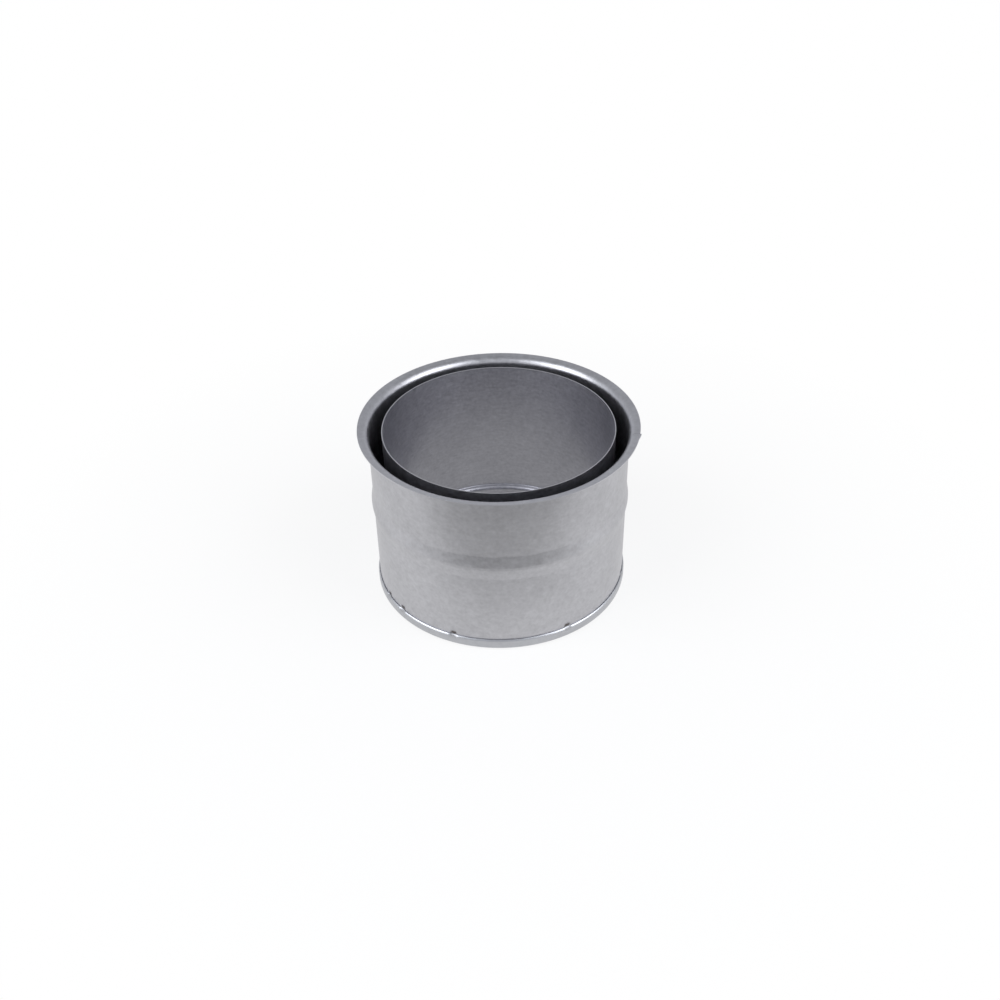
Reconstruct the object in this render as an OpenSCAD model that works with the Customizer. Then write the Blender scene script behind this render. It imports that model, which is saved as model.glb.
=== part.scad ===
// Double-walled wall sleeve for a flue pipe, in thin aluminised sheet steel.
// It stands on its back face with the collar up. The front, as photographed, is -Y.
// The rolled outer sleeve and inner sleeve share one axis, with an air gap between them.
// A channel-shaped base ring closes that gap at the back and is crimped to the outer sleeve.

/* [Overall] */
// Length from the back face to the edge of the collar
length = 120; // [85:1:300]
// Thickness of the sheet
sheet_t = 0.6; // [0.5:0.1:1.2]
// Bore of the inner sleeve, which takes a pipe of nominal size 150
bore_d = 151; // [80:1:250]
// Air gap between the two sleeves
air_gap = 8.3; // [4:0.1:30]

/* [Collar] */
// How far the collar stands out from the outer sleeve
collar_w = 6.7; // [5:0.1:20]
// Rise of the collar towards its edge, in degrees
collar_rise = 8; // [0:1:30]
// Radius of the bend on the wall side of the collar
collar_bend_r = 4.4; // [1:0.1:5.5]

/* [Stiffening bead] */
// Height of the bead's middle above the back face
bead_z = 66.5; // [20:0.5:100]
// Width of the bead over both flanks
bead_w = 18; // [8:0.5:24]
// How far the bead stands out
bead_h = 1.25; // [0.5:0.05:3]
// Width of the level crest between the flanks
bead_land = 2; // [1:0.1:4]

/* [Inner sleeve] */
// How far the inner rim lies below the collar's edge
rim_setback = 2.75; // [0:0.05:20]
// Height of the pipe stop's middle above the back face
stop_z = 13.5; // [8:0.5:30]
// How far the pipe stop stands into the bore
stop_h = 3.2; // [1.5:0.1:4.5]
// Radius of the pipe stop's crest, on the bore side
stop_crest_r = 3.5; // [2:0.1:5]
// Radius of the hollow between the wall and the pipe stop, on the bore side
stop_fillet_r = 1.2; // [0.8:0.1:3]

/* [Base ring] */
// Height of the rim that closes round the outer sleeve
rim_h = 7.4; // [7:0.1:14]
// Inner radius of the shoulder where the rim closes in
shoulder_in_r = 1.8; // [1.6:0.1:2.4]
// Inner radius of the bends at the back face
base_bend_in_r = 1.4; // [1.3:0.1:2]
// Height of the lip round the inner sleeve
lip_h = 8; // [4:0.5:12]
// Clearance between the ring and each sleeve
crimp_gap = 0.05; // [0.02:0.01:0.15]

/* [Crimps and seam] */
// Width of the punch that struck the crimps
crimp_w = 4; // [2:0.5:8]
// Depth of a crimp
crimp_depth = 0.4; // [0.1:0.05:0.45]
// Angle of the outer sleeve's flush seam, from the front towards +X
seam_angle = 79; // [0:1:360]
// Length of the split at the collar's seam
split_l = 4.6; // [1:0.1:5]
// Width of the split at the collar's seam
split_w = 0.4; // [0.2:0.1:1]
// How far the sheet's corner stands out at the split
corner_h = 0.85; // [0.1:0.05:2]
// Length along the edge over which that corner runs out
corner_l = 6.5; // [2:0.5:9]

/* [Hidden] */
$fn = 128;
// Amount by which a cutter runs past the face it cuts, and the least plain wall beside a bend
over = 1;
// Straight steps in each arc of a section
ARC_STEPS = 10;
// Crimps were struck by hand at uneven angles, counted from the front towards +X
CRIMP_ANGLES = [-63, -51, -22, 30, 76, 116, 158, 203, 249];

bore_r = bore_d / 2;
inner_r = bore_r + sheet_t;
gap_r = inner_r + air_gap;
wall_r = gap_r + sheet_t;

// The lip of the collar is a straight strip at collar_rise beyond a bend that starts upright
collar_r = wall_r + collar_w;
bend_turn = 90 - collar_rise;
bend_c_r = wall_r + collar_bend_r;
lip_foot_r = bend_c_r - collar_bend_r * cos(bend_turn);
lip_run = collar_r - lip_foot_r;
bend_z = length - (collar_bend_r + sheet_t) * sin(bend_turn) - lip_run * tan(collar_rise);
lip_edge_z = bend_z + collar_bend_r * sin(bend_turn) + lip_run * tan(collar_rise);

// The outer sleeve's foot is a flat hem of two thicknesses, with a round fold
hem_r = wall_r + sheet_t;
rim_in_r = hem_r + crimp_gap;
rim_r = rim_in_r + sheet_t;
base_bend_r = base_bend_in_r + sheet_t;
base_bend_c_r = rim_r - base_bend_r;
hem_fold_z = base_bend_r;
shoulder_r = shoulder_in_r + sheet_t;
shoulder_c_r = rim_r - shoulder_r;
shoulder_turn = acos((wall_r + crimp_gap - shoulder_c_r) / shoulder_in_r);
shoulder_z = rim_h - shoulder_r * sin(shoulder_turn);

lip_in_r = inner_r + crimp_gap;
lip_bend_c_r = lip_in_r + base_bend_r;

// The pipe stop is one convex arc between two concave ones, all tangent
stop_crest_c_r = bore_r - stop_h + stop_crest_r;
stop_fillet_c_r = bore_r - stop_fillet_r;
stop_reach = stop_crest_r + stop_fillet_r;
stop_half = sqrt(pow(stop_reach, 2) - pow(stop_crest_c_r - stop_fillet_c_r, 2));
stop_turn = acos((stop_crest_c_r - stop_fillet_c_r) / stop_reach);

inner_top_z = length - rim_setback;

// Points of an arc in a section, given as [radius, height]
function arc(center, r, from, to) =
    [for (i = [0:ARC_STEPS]) center + r * [cos(from + (to - from) * i / ARC_STEPS),
                                           sin(from + (to - from) * i / ARC_STEPS)]];

// The same points in the opposite order
function reversed(points) = [for (i = [len(points) - 1:-1:0]) points[i]];

// Straight outline of a wall with the stiffening bead, whose plain part has radius r
function beaded_wall(r, from, to) = [
    [r, from],
    [r, bead_z - bead_w / 2],
    [r + bead_h, bead_z - bead_land / 2],
    [r + bead_h, bead_z + bead_land / 2],
    [r, bead_z + bead_w / 2],
    [r, to]
];

// Point at a distance beyond the collar's edge, and through the sheet from its wall side
function lip_point(beyond, through) = [
    collar_r + beyond * cos(collar_rise) - through * sin(collar_rise),
    lip_edge_z + beyond * sin(collar_rise) + through * cos(collar_rise)
];

// Turns a shape to an angle counted from the front towards +X, with its own +X pointing outwards
module at_angle(angle) {
    rotate([0, 0, angle - 90])
        children();
}

// Closed section of the outer sleeve, from the hem's fold up the outside and down the inside.
// Its collar is wide enough all round for the corner, and is trimmed to its size afterwards.
module outer_section() {
    polygon(concat(
        arc([wall_r, hem_fold_z], sheet_t, 180, 360),
        [[hem_r, shoulder_z], [wall_r, shoulder_z]],
        beaded_wall(wall_r, shoulder_z + over, bend_z - over),
        arc([bend_c_r, bend_z], collar_bend_r, 180, 180 - bend_turn),
        [lip_point(corner_h, 0), lip_point(corner_h, sheet_t)],
        arc([bend_c_r, bend_z], collar_bend_r + sheet_t, 180 - bend_turn, 180),
        reversed(beaded_wall(gap_r, hem_fold_z + over, bend_z - over))
    ));
}

// The rolled blank wasn't quite square, so one corner of it is left standing out at the split.
// Its slanting side meets the collar's edge at corner_l from the split.
module collar_trim() {
    corner_foot_r = sqrt(pow(collar_r, 2) - pow(split_w / 2 + corner_l, 2));
    corner_slope = (collar_r + over - corner_foot_r) / (corner_l * 4 / 5);
    difference() {
        rotate_extrude()
            polygon([
                lip_point(0, -over),
                lip_point(corner_h + over, -over),
                lip_point(corner_h + over, sheet_t + over),
                lip_point(0, sheet_t + over)
            ]);
        at_angle(seam_angle)
            translate([0, 0, bend_z])
                linear_extrude(height = length - bend_z + 2 * over)
                    polygon([
                        [collar_r - split_l, 0],
                        [collar_r + corner_h + 2 * over, 0],
                        [collar_r + corner_h + 2 * over, -split_w / 2 - corner_l / 5],
                        [collar_r + over, -split_w / 2 - corner_l / 5],
                        [corner_foot_r - 2 * over * corner_slope, -split_w / 2 - corner_l - 2 * over],
                        [collar_r - split_l, -split_w / 2 - corner_l - 2 * over]
                    ]);
    }
}

// Bite of the punch in the wall, just above the base ring's rim
module crimp_bite() {
    translate([0, crimp_w / 2, 0])
        rotate([90, 0, 0])
            linear_extrude(height = crimp_w)
                polygon([
                    [wall_r - crimp_depth, rim_h - over],
                    [wall_r + over, rim_h - over],
                    [wall_r + over, rim_h + crimp_w / 2],
                    [wall_r, rim_h + crimp_w / 2],
                    [wall_r - crimp_depth, rim_h + crimp_w / 4]
                ]);
}

module outer_sleeve() {
    color("#a5a4aa")
        difference() {
            rotate_extrude()
                outer_section();
            collar_trim();
            at_angle(seam_angle)
                translate([collar_r - split_l, -split_w / 2, bend_z])
                    cube([split_l + corner_h + over, split_w, length - bend_z + 2 * over]);
            for (angle = CRIMP_ANGLES)
                at_angle(angle)
                    crimp_bite();
        }
}

// Closed section of the inner sleeve, up the bore side and down the gap side
module inner_section() {
    foot = [stop_fillet_c_r, stop_z - stop_half];
    head = [stop_fillet_c_r, stop_z + stop_half];
    crest = [stop_crest_c_r, stop_z];
    fillet_out_r = stop_fillet_r + sheet_t;
    crest_in_r = stop_crest_r - sheet_t;
    polygon(concat(
        [[bore_r, 0]],
        arc(foot, stop_fillet_r, 0, stop_turn),
        arc(crest, stop_crest_r, 180 + stop_turn, 180 - stop_turn),
        arc(head, stop_fillet_r, -stop_turn, 0),
        [[bore_r, inner_top_z], [inner_r, inner_top_z]],
        arc(head, fillet_out_r, 0, -stop_turn),
        arc(crest, crest_in_r, 180 - stop_turn, 180 + stop_turn),
        arc(foot, fillet_out_r, stop_turn, 0),
        [[inner_r, 0]]
    ));
}

module inner_sleeve() {
    color("#8f8e94")
        rotate_extrude()
            inner_section();
}

// Closed section of the base ring: a channel with a lip and a rim, open upwards
module ring_section() {
    lip_bend = [lip_bend_c_r, base_bend_r];
    rim_bend = [base_bend_c_r, base_bend_r];
    shoulder = [shoulder_c_r, shoulder_z];
    polygon(concat(
        [[lip_in_r, lip_h]],
        arc(lip_bend, base_bend_r, 180, 270),
        arc(rim_bend, base_bend_r, 270, 360),
        arc(shoulder, shoulder_r, 0, shoulder_turn),
        arc(shoulder, shoulder_in_r, shoulder_turn, 0),
        arc(rim_bend, base_bend_in_r, 360, 270),
        arc(lip_bend, base_bend_in_r, 270, 180),
        [[lip_in_r + sheet_t, lip_h]]
    ));
}

// Flat left by the punch across the rim's shoulder
module crimp_flat() {
    translate([shoulder_c_r, 0, shoulder_z])
        rotate([0, -shoulder_turn / 2, 0])
            translate([shoulder_r - crimp_depth, -crimp_w / 2, -shoulder_r])
                cube([2 * crimp_depth + over, crimp_w, 2 * shoulder_r]);
}

module base_ring() {
    color("#b4b4ba")
        difference() {
            rotate_extrude()
                ring_section();
            for (angle = CRIMP_ANGLES)
                at_angle(angle)
                    crimp_flat();
        }
}

outer_sleeve();
inner_sleeve();
base_ring();
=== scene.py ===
import math

import bmesh
import bpy
from mathutils import Matrix, Vector


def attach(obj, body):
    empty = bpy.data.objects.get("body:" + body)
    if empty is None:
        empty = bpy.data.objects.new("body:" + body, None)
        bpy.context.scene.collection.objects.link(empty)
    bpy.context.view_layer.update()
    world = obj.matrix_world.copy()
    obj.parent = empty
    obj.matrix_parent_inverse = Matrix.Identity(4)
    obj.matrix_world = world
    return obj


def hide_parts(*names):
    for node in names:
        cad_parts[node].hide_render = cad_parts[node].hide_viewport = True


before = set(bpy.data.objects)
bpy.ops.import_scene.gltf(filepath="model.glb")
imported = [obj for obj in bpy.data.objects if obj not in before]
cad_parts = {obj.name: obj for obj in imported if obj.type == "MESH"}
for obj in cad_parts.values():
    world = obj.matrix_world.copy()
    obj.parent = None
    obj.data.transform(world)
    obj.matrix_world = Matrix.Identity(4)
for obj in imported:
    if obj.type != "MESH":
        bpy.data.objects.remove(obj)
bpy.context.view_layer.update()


# Inner sleeve: the tube that the flue pipe slides into, with a bare cut rim at the top.
# It is rolled from thin aluminised sheet and seam welded, and a bead rolled inwards
# near its back end stops the pipe.

MM = 0.001
SHEET = 0.6
BORE_R = 75.5
SLEEVE_TOP = 117.25
STOP_Z = 13.5
STOP_H = 3.2
STOP_CREST_R = 3.2
STOP_HOLLOW_R = 1.5
ROUND_CUTS = 600


class SheetLine:
    """The middle of a sheet in section, drawn in millimetres as radius and height."""

    def __init__(self, radius, height):
        self.mesh = bmesh.new()
        self.tip = self.mesh.verts.new((radius * MM, 0, height * MM))

    def straight(self, radius, height, pieces=1):
        start, end = self.tip.co.copy(), Vector((radius * MM, 0, height * MM))
        for step in range(1, pieces + 1):
            added = bmesh.ops.extrude_vert_indiv(self.mesh, verts=[self.tip])
            self.tip = added["verts"][0]
            self.tip.co = start.lerp(end, step / pieces)
        return self

    def bend(self, radius, height, degrees, pieces=8):
        """Turns the sheet about a point; a positive angle turns from outwards to upwards."""
        spun = bmesh.ops.spin(
            self.mesh,
            geom=[self.tip],
            cent=(radius * MM, 0, height * MM),
            axis=(0, -1, 0),
            angle=math.radians(degrees),
            steps=pieces,
        )
        self.tip = next(part for part in spun["geom_last"] if isinstance(part, bmesh.types.BMVert))
        return self

    def revolve(self):
        """Rolls the line round the axis and returns the sheet's middle surface."""
        bmesh.ops.spin(
            self.mesh,
            geom=self.mesh.verts[:] + self.mesh.edges[:],
            cent=(0, 0, 0),
            axis=(0, 0, 1),
            angle=math.tau,
            steps=ROUND_CUTS,
            use_merge=True,
        )
        return self.mesh


def sheet_piece(name, surface, finish, edge_finish, node):
    """Gives a middle surface its thickness and puts it in the place of its CAD node."""
    for face in surface.faces:
        face.smooth = True
    mesh = bpy.data.meshes.new(name)
    surface.to_mesh(mesh)
    surface.free()
    piece = bpy.data.objects.new(name, mesh)
    bpy.context.scene.collection.objects.link(piece)
    mesh.materials.append(finish.material)
    mesh.materials.append(edge_finish.material)
    gauge = piece.modifiers.new("sheet gauge", "SOLIDIFY")
    gauge.thickness = SHEET * MM
    gauge.offset = 0
    gauge.material_offset_rim = 1
    piece.modifiers.new("crisp cut edges", "EDGE_SPLIT").split_angle = math.radians(50)
    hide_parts(node)
    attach(piece, "root")
    return piece


class Value:
    """A number that varies over a surface. Arithmetic on it adds Math nodes to its finish."""

    def __init__(self, finish, socket):
        self.finish = finish
        self.socket = socket

    def math(self, operation, *numbers):
        return self.finish.node("ShaderNodeMath", {"operation": operation}, dict(enumerate(numbers)))

    def __add__(self, other):
        return self.math("ADD", self, other)

    def __sub__(self, other):
        return self.math("SUBTRACT", self, other)

    def __rsub__(self, other):
        return self.math("SUBTRACT", other, self)

    def __mul__(self, other):
        return self.math("MULTIPLY", self, other)

    __radd__ = __add__
    __rmul__ = __mul__


class Finish:
    """A material's nodes, round its surface shader."""

    def __init__(self, name):
        self.material = bpy.data.materials.new(name)
        self.material.use_nodes = True
        self.nodes = self.material.node_tree.nodes
        self.links = self.material.node_tree.links
        self.surface = self.nodes.get("Principled BSDF")

    def feed(self, node, sockets):
        for key, value in sockets.items():
            if isinstance(value, Value):
                self.links.new(value.socket, node.inputs[key])
            else:
                node.inputs[key].default_value = value

    def node(self, kind, settings, sockets, output=0):
        node = self.nodes.new(kind)
        for key, value in settings.items():
            if key == "stops":
                ramp = node.color_ramp.elements
                for index, (place, shade) in enumerate(value):
                    stop = ramp[index] if index < len(ramp) else ramp.new(place)
                    stop.position = place
                    stop.color = shade
            else:
                setattr(node, key, value)
        self.feed(node, sockets)
        return Value(self, node.outputs[output])

    def cloud(self, size, stretch=(1, 1, 1), detail=2.0):
        """Soft random blotches about size millimetres across, from 0 to 1."""
        place = self.node("ShaderNodeTexCoord", {}, {}, "Object")
        place = self.node("ShaderNodeMapping", {}, {"Vector": place, "Scale": stretch})
        return self.node(
            "ShaderNodeTexNoise", {}, {"Vector": place, "Scale": 1 / (size * MM), "Detail": detail}
        )

    def tint(self, amount, low, high):
        """A colour between two, by an amount from 0 to 1."""
        return self.node("ShaderNodeMix", {"data_type": "RGBA"}, {0: amount, 6: low, 7: high}, 2)


# The dark colour painted as shade into the crimp pockets, then the bump depth.
CRIMP_SHADE_COLOUR = (0.075, 0.06, 0.05, 1)
RELIEF = 0.12


def aluminised(name, dark, light, streak, rough, bump):
    """Satin hot-dipped sheet: fine grain, faint rolled streaks, slow cloudiness and painted shade in the
    crimp pockets.
    """
    finish = Finish(name)
    grain = finish.cloud(2.0, (1, 1, 1), 4)
    streaks = finish.cloud(5, streak, 3)
    clouds = finish.cloud(34, (1, 1, 1), 2)
    crimp_shade = finish.node("ShaderNodeAttribute", {"attribute_name": "crimp_shade"}, {}, "Fac")
    mix = grain * 0.35 + streaks * 0.4 + clouds * 0.25
    relief = finish.node(
        "ShaderNodeBump",
        {},
        {"Strength": bump, "Distance": RELIEF * MM, "Height": grain * 0.4 + streaks * 0.6},
    )
    unshaded_sheet = finish.tint((mix - 0.35) * 3.2, dark, light)
    finish.feed(
        finish.surface,
        {
            "Base Color": finish.tint(crimp_shade, unshaded_sheet, CRIMP_SHADE_COLOUR),
            "Metallic": 1 - crimp_shade * 0.7,
            "Roughness": (streaks - 0.5) * 0.16 + (grain - 0.5) * 0.1 + crimp_shade * 0.25 + rough,
            "Normal": relief,
        },
    )
    return finish


cut_edge = Finish("sheared_edge")
shear = cut_edge.cloud(0.5, (1, 1, 6), 2)
cut_edge.feed(
    cut_edge.surface,
    {
        "Base Color": cut_edge.tint(shear, (0.55, 0.55, 0.57, 1), (0.72, 0.72, 0.75, 1)),
        "Metallic": 1.0,
        "Roughness": 0.28 + shear * 0.2,
    },
)

# The inner sleeve's sheet gets darker colours than the outer sleeve's, as painted shade for the inside of
# the bore.
inner_finish = aluminised(
    "inner_sleeve_sheet", (0.42, 0.42, 0.46, 1), (0.59, 0.59, 0.635, 1), (1, 1, 2.6), 0.36, 0.4
)

inner_r = BORE_R + SHEET / 2
crest_r = inner_r - STOP_H + STOP_CREST_R
hollow_r = inner_r - STOP_HOLLOW_R
stop_turn = math.degrees(math.acos((crest_r - hollow_r) / (STOP_CREST_R + STOP_HOLLOW_R)))
stop_half = (STOP_CREST_R + STOP_HOLLOW_R) * math.sin(math.radians(stop_turn))

inner_line = SheetLine(inner_r, 0)
inner_line.straight(inner_r, STOP_Z - stop_half, 3)
inner_line.bend(hollow_r, STOP_Z - stop_half, stop_turn)
inner_line.bend(crest_r, STOP_Z, -2 * stop_turn, 16)
inner_line.bend(hollow_r, STOP_Z + stop_half, stop_turn)
inner_line.straight(inner_r, SLEEVE_TOP, 14)
sheet_piece(
    "inner_flue_sleeve", inner_line.revolve(), inner_finish, cut_edge, "inner_sleeve"
)


# Base ring: the channel that closes the air gap at the back.
# It is stamped from aluminised sheet. Its lip is welded round the inner sleeve, and its
# rim is closed in over the outer sleeve's hem, where a punch has crimped it by hand.

CRIMPS = [-63, -51, -22, 30, 76, 116, 158, 203, 249]
CRIMP_W = 4.2
CRIMP_IN = 0.55
# How much shade is painted into the rim's crimp dents.
RIM_CRIMP_SHADE = 0.25
RING_GAP = 0.05
LIP_TOP = 8
RIM_TOP = 7.4
RIM_R = 85.95
BASE_BEND_R = 1.7
SHOULDER_R = 2.1
HEM_FOLD_Z = 2
WALL_R = 84.7


def fade(distance, full, none):
    """1 up to full, 0 from none on, and smooth in between."""
    along = min(max((distance - none) / (full - none), 0), 1)
    return along * along * (3 - 2 * along)


def crimp_at(place):
    """How strongly the nearest crimp pushes a point in, from 0 to 1, by its angle alone."""
    radius = math.hypot(place.x, place.y) / MM
    angle = math.degrees(math.atan2(place.x, -place.y))
    nearest = min(abs((angle - crimp + 180) % 360 - 180) for crimp in CRIMPS)
    return fade(math.radians(nearest) * radius, CRIMP_W * 0.34, CRIMP_W * 0.62)


def strike_crimps(surface, depth_at, crimp_shade_at):
    """Pushes a sheet in at the crimps and paints shade into their pockets, both by height."""
    crimp_shade = surface.verts.layers.float.new("crimp_shade")
    for vert in surface.verts:
        height = vert.co.z / MM
        struck = crimp_at(vert.co)
        vert[crimp_shade] = struck * crimp_shade_at(height)
        depth = struck * depth_at(height)
        if depth:
            inwards = Vector((-vert.co.x, -vert.co.y, 0)).normalized()
            vert.co += inwards * depth * MM


ring_finish = aluminised(
    "base_ring_sheet", (0.51, 0.52, 0.55, 1), (0.59, 0.6, 0.63, 1), (1, 1, 1), 0.33, 0.08
)

lip_r = inner_r + SHEET / 2 + RING_GAP + SHEET / 2
rim_r = RIM_R
shoulder_c_r = rim_r - SHOULDER_R
shoulder_turn = 48.2
shoulder_z = RIM_TOP - (SHOULDER_R + SHEET / 2) * math.sin(math.radians(shoulder_turn))

ring_line = SheetLine(lip_r, LIP_TOP)
ring_line.straight(lip_r, BASE_BEND_R + SHEET / 2, 3)
ring_line.bend(lip_r + BASE_BEND_R, BASE_BEND_R + SHEET / 2, 90)
ring_line.straight(rim_r - BASE_BEND_R, SHEET / 2, 2)
ring_line.bend(rim_r - BASE_BEND_R, BASE_BEND_R + SHEET / 2, 90)
ring_line.straight(rim_r, shoulder_z, 6)
ring_line.bend(shoulder_c_r, shoulder_z, shoulder_turn, 10)
ring_surface = ring_line.revolve()
# Crimps dent the rim, and shade is painted into the dents near its top.
strike_crimps(
    ring_surface,
    lambda height: 0 if height < 2 else CRIMP_IN * fade(height, RIM_TOP - 1.6, 2.4),
    lambda height: RIM_CRIMP_SHADE * fade(height, RIM_TOP - 1.2, 3.6),
)
sheet_piece("crimped_base_ring", ring_surface, ring_finish, cut_edge, "base_ring")


# Outer sleeve: the tube that goes into the wall, with its flared collar up.
# It is rolled from aluminised sheet and seam welded, then given a shallow stiffening
# bead, a collar flared over a bend, and a flat hem that the base ring closes over.

COLLAR_R = 91.7
COLLAR_BEND_R = 4.7
COLLAR_RISE = 8
LENGTH = 120
BEAD_Z = 66.5
BEAD_W = 18
BEAD_H = 1.25
BEAD_LAND = 2
BEAD_CORNER_R = 7
# Height of the band of painted shade just above the rim's edge at each crimp.
CRIMP_SHADE_Z = 8.5
SPLIT_ANGLE = 79
SPLIT_W = 0.4
SPLIT_L = 4.6
CORNER_H = 0.85
CORNER_L = 6.5

outer_finish = aluminised(
    "outer_sleeve_sheet", (0.49, 0.49, 0.515, 1), (0.63, 0.63, 0.66, 1), (1, 1, 1.5), 0.36, 0.4
)

bend_turn = 90 - COLLAR_RISE
rise = math.radians(COLLAR_RISE)
bend_c_r = WALL_R + COLLAR_BEND_R
lip_foot_r = bend_c_r - COLLAR_BEND_R * math.sin(rise)
wall_side_r = bend_c_r - (COLLAR_BEND_R - SHEET / 2) * math.sin(rise)
bend_z = LENGTH - (COLLAR_BEND_R + SHEET / 2) * math.cos(rise) - (COLLAR_R - wall_side_r) * math.tan(rise)
lip_foot_z = bend_z + COLLAR_BEND_R * math.cos(rise)
lip_edge_r = COLLAR_R - SHEET / 2 * math.sin(rise)
lip_edge_z = lip_foot_z + (lip_edge_r - lip_foot_r) * math.tan(rise)

outer_line = SheetLine(WALL_R + SHEET, shoulder_z - 0.3)
outer_line.straight(WALL_R + SHEET, HEM_FOLD_Z, 3)
outer_line.bend(WALL_R + SHEET / 2, HEM_FOLD_Z, -180, 6)
outer_line.straight(WALL_R, 6, 3)
outer_line.straight(WALL_R, 13, 14)
flank_lean = math.degrees(math.atan(BEAD_H / (BEAD_W / 2 - BEAD_LAND / 2)))
bead_corners = [
    (WALL_R, BEAD_Z - BEAD_W / 2, 0, flank_lean),
    (WALL_R + BEAD_H, BEAD_Z - BEAD_LAND / 2, flank_lean, 0),
    (WALL_R + BEAD_H, BEAD_Z + BEAD_LAND / 2, 0, -flank_lean),
    (WALL_R, BEAD_Z + BEAD_W / 2, -flank_lean, 0),
]
for corner_r, corner_z, lean_before, lean_after in bead_corners:
    turn = lean_after - lean_before
    run_up = BEAD_CORNER_R * math.tan(math.radians(abs(turn) / 2))
    outwards = math.sin(math.radians(lean_before))
    upwards = math.cos(math.radians(lean_before))
    start_r = corner_r - run_up * outwards
    start_z = corner_z - run_up * upwards
    aside = math.copysign(BEAD_CORNER_R, turn)
    outer_line.straight(start_r, start_z, 3)
    outer_line.bend(start_r + aside * upwards, start_z - aside * outwards, -turn, 4)
outer_line.straight(WALL_R, bend_z, 5)
outer_line.bend(bend_c_r, bend_z, -bend_turn, 16)
outer_line.straight(lip_edge_r, lip_edge_z, 4)
outer_surface = outer_line.revolve()

seam = math.radians(SPLIT_ANGLE)
seam_out = Vector((math.sin(seam), -math.cos(seam), 0))
seam_along = Vector((math.cos(seam), math.sin(seam), 0))
corner_end = SPLIT_W / 2 + CORNER_L


def collar_faces(reach):
    """Faces of the collar whose middle is no further than reach from the seam."""
    middles = [(face, face.calc_center_median()) for face in outer_surface.faces]
    return [
        face
        for face, middle in middles
        if middle.z > bend_z * MM and middle.dot(seam_out) > 0 and abs(middle.dot(seam_along)) < reach * MM
    ]


def slit(faces, place, way):
    """Cuts edges into some faces where a plane crosses them."""
    edges = {edge for face in faces for edge in face.edges}
    verts = {vert for face in faces for vert in face.verts}
    bmesh.ops.bisect_plane(outer_surface, geom=[*verts, *edges, *faces], plane_co=place, plane_no=way)


for offset in (SPLIT_W / 2, -SPLIT_W / 2, -SPLIT_W / 2 - CORNER_L / 5, -corner_end):
    slit(collar_faces(corner_end + 3), seam_along * offset * MM, seam_along)
split_foot = (COLLAR_R - SPLIT_L) * MM
slit(collar_faces(SPLIT_W / 2), seam_out * split_foot, seam_out)
opened = [face for face in collar_faces(SPLIT_W / 2) if face.calc_center_median().dot(seam_out) > split_foot]
bmesh.ops.delete(outer_surface, geom=opened, context="FACES")
for vert in outer_surface.verts:
    beside = -vert.co.dot(seam_along) / MM
    at_edge = vert.co.z > bend_z * MM and vert.co.xy.length > (lip_edge_r - 0.2) * MM
    if at_edge and vert.co.dot(seam_out) > 0 and 0 < beside < corner_end:
        away = Vector((vert.co.x, vert.co.y, 0)).normalized() * math.cos(rise)
        away.z = math.sin(rise)
        vert.co += away * CORNER_H * MM * min((corner_end - beside) / (CORNER_L * 0.8), 1)
# Crimps dent the wall just above the rim, and shade is painted into a band there.
strike_crimps(
    outer_surface,
    lambda height: CRIMP_IN * fade(height, 5, 2.6) * fade(height, 9, 11.5),
    lambda height: fade(abs(height - CRIMP_SHADE_Z), 0.4, 1.5),
)
sheet_piece("flared_outer_sleeve", outer_surface, outer_finish, cut_edge, "outer_sleeve")


# Photographer's table: a plain white board that the sleeve stands on.
# The metal sees a painted reflection of it, with painted shade darker towards its front edge and painted
# shade inside the bore.
# To the camera it is white, and near the sleeve it keeps a part of the soft shadow.

TABLE_HALF = 4
TABLE_DROP = 0.0003
WHITE_SHARE = 0.8
SHADOW_NEAR = 0.12
SHADOW_FAR = 0.4
FRONT_DARK_Y = -0.25
FRONT_PALE_Y = -0.1
DARK_SHADE = 0.35
PALE_SHADE = 0.78
BORE_SHADE = 0.56
HORIZON_AIR = 0.7
ZENITH_AIR = 0.36
LAMP_COLOUR = (0.95, 0.97, 1.0)
LAMP_SIDE = 1.05
LAMP_FRONT = -0.5
LAMP_UP = 0.75
LAMP_W = 1.1
LAMP_H = 1.5
LAMP_WATTS = 13

floor_mesh = bmesh.new()
bmesh.ops.create_grid(floor_mesh, x_segments=2, y_segments=2, size=TABLE_HALF)
bmesh.ops.translate(floor_mesh, verts=floor_mesh.verts, vec=(0, 0, -TABLE_DROP))
floor_data = bpy.data.meshes.new("floor")
floor_mesh.to_mesh(floor_data)
floor_mesh.free()
floor = bpy.data.objects.new("floor", floor_data)
bpy.context.scene.collection.objects.link(floor)

floor_finish = Finish("pale_table")
floor_data.materials.append(floor_finish.material)
floor_place = floor_finish.node("ShaderNodeTexCoord", {}, {}, "Object")
floor_reach = floor_finish.node("ShaderNodeVectorMath", {"operation": "LENGTH"}, {0: floor_place}, 1)
floor_depth = floor_finish.node("ShaderNodeSeparateXYZ", {}, {0: floor_place}, "Y")
floor_front = floor_finish.node(
    "ShaderNodeMapRange",
    {},
    {
        "Value": floor_depth,
        "From Min": FRONT_DARK_Y,
        "From Max": FRONT_PALE_Y,
        "To Min": DARK_SHADE,
        "To Max": PALE_SHADE,
    },
)
floor_open = floor_finish.node(
    "ShaderNodeMapRange",
    {},
    {
        "Value": floor_reach,
        "From Min": (BORE_R + 2) * MM,
        "From Max": WALL_R * MM,
        "To Min": BORE_SHADE,
        "To Max": 1,
    },
)
floor_shade = floor_front * floor_open
camera_ray = floor_finish.node("ShaderNodeLightPath", {}, {}, "Is Camera Ray")
glossy_ray = floor_finish.node("ShaderNodeLightPath", {}, {}, "Is Glossy Ray")
floor_diffuse = floor_finish.node("ShaderNodeBsdfDiffuse", {}, {"Color": (0.9, 0.9, 0.9, 1)})
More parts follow.
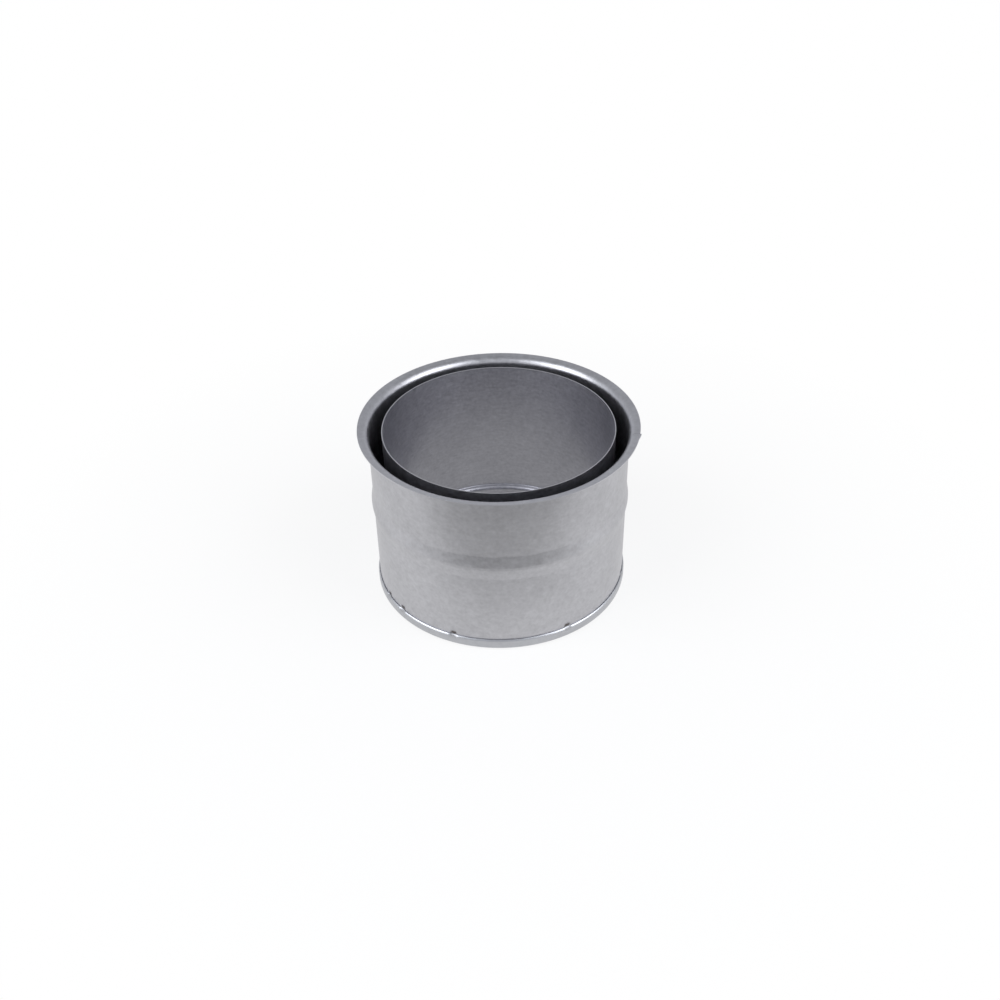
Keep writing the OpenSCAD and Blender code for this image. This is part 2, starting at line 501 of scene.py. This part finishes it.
floor_white = floor_finish.node("ShaderNodeEmission", {}, {"Color": (1, 1, 1, 1), "Strength": 1.0})
# Glossy rays see this painted reflection of the table in place of the lit board.
painted_table_reflection = floor_finish.node("ShaderNodeEmission", {}, {"Color": (1, 1, 1, 1), "Strength": floor_shade})
white_share = floor_finish.node(
    "ShaderNodeMapRange",
    {},
    {
        "Value": floor_reach,
        "From Min": SHADOW_NEAR,
        "From Max": SHADOW_FAR,
        "To Min": WHITE_SHARE,
        "To Max": 1,
    },
)
seen_by_camera = floor_finish.node(
    "ShaderNodeMixShader", {}, {0: camera_ray * white_share, 1: floor_diffuse, 2: floor_white}
)
seen_in_metal = floor_finish.node(
    "ShaderNodeMixShader", {}, {0: glossy_ray, 1: seen_by_camera, 2: painted_table_reflection}
)
floor_finish.nodes.remove(floor_finish.surface)
floor_finish.feed(floor_finish.nodes["Material Output"], {"Surface": seen_in_metal})

world = bpy.data.worlds.new("studio")
bpy.context.scene.world = world
world.use_nodes = True
air = world.node_tree.nodes["Background"]
air.inputs["Color"].default_value = (0.93, 0.95, 1.0, 1)
skyward = world.node_tree.nodes.new("ShaderNodeTexCoord")
height_in_air = world.node_tree.nodes.new("ShaderNodeSeparateXYZ")
dimmer = world.node_tree.nodes.new("ShaderNodeMapRange")
dimmer.inputs["To Min"].default_value = HORIZON_AIR
dimmer.inputs["To Max"].default_value = ZENITH_AIR
world.node_tree.links.new(skyward.outputs["Object"], height_in_air.inputs[0])
world.node_tree.links.new(height_in_air.outputs["Z"], dimmer.inputs["Value"])
world.node_tree.links.new(dimmer.outputs[0], air.inputs["Strength"])
white_air = world.node_tree.nodes.new("ShaderNodeBackground")
white_air.inputs["Strength"].default_value = 1.0
white_air.inputs["Color"].default_value = (1, 1, 1, 1)
eye = world.node_tree.nodes.new("ShaderNodeLightPath")
either = world.node_tree.nodes.new("ShaderNodeMixShader")
world.node_tree.links.new(eye.outputs["Is Camera Ray"], either.inputs[0])
world.node_tree.links.new(air.outputs[0], either.inputs[1])
world.node_tree.links.new(white_air.outputs[0], either.inputs[2])
world.node_tree.links.new(either.outputs[0], world.node_tree.nodes["World Output"].inputs["Surface"])


def softbox(name, side):
    """A soft lamp that stands on one side in front of the sleeve and is turned to it."""
    lamp = bpy.data.lights.new(name, "AREA")
    lamp.shape = "RECTANGLE"
    lamp.size = LAMP_W
    lamp.size_y = LAMP_H
    lamp.energy = LAMP_WATTS
    lamp.color = LAMP_COLOUR
    stand = bpy.data.objects.new(name, lamp)
    bpy.context.scene.collection.objects.link(stand)
    stand.location = (side * LAMP_SIDE, LAMP_FRONT, LAMP_UP)
    towards = Vector((0, 0, LENGTH / 2 * MM)) - stand.location
    stand.rotation_euler = towards.to_track_quat("-Z", "Y").to_euler()
    stand.visible_camera = False


softbox("left_softbox", -1)
softbox("right_softbox", 1)


# Camera: stands where the photograph was taken from, a little off level.
# Its place and lens come from a fit to the circles that the photograph shows.

ELEVATION = math.radians(35.83)
DISTANCE = 767.6 * MM
LOOK_AT = Vector((0, 0, 61.8 * MM))
TILT = math.radians(-0.29)
ROLL = math.radians(1.04)
LENS_PIXELS = 1131

ahead = Vector((0, math.cos(ELEVATION), -math.sin(ELEVATION)))
right = Vector((1, 0, 0))
camera_data = bpy.data.cameras.new("camera")
camera_data.sensor_width = 36
camera_data.lens = 36 * LENS_PIXELS / 1000
camera_data.clip_start = 0.01
camera = bpy.data.objects.new("camera", camera_data)
bpy.context.scene.collection.objects.link(camera)
camera.location = LOOK_AT - ahead * DISTANCE
ahead = Matrix.Rotation(TILT, 3, right) @ ahead
right = Matrix.Rotation(ROLL, 3, ahead) @ right
above = right.cross(ahead)
camera.rotation_euler = Matrix((right, above, -ahead)).transposed().to_euler()
bpy.context.scene.camera = camera

bpy.context.scene.view_settings.view_transform = "Standard"
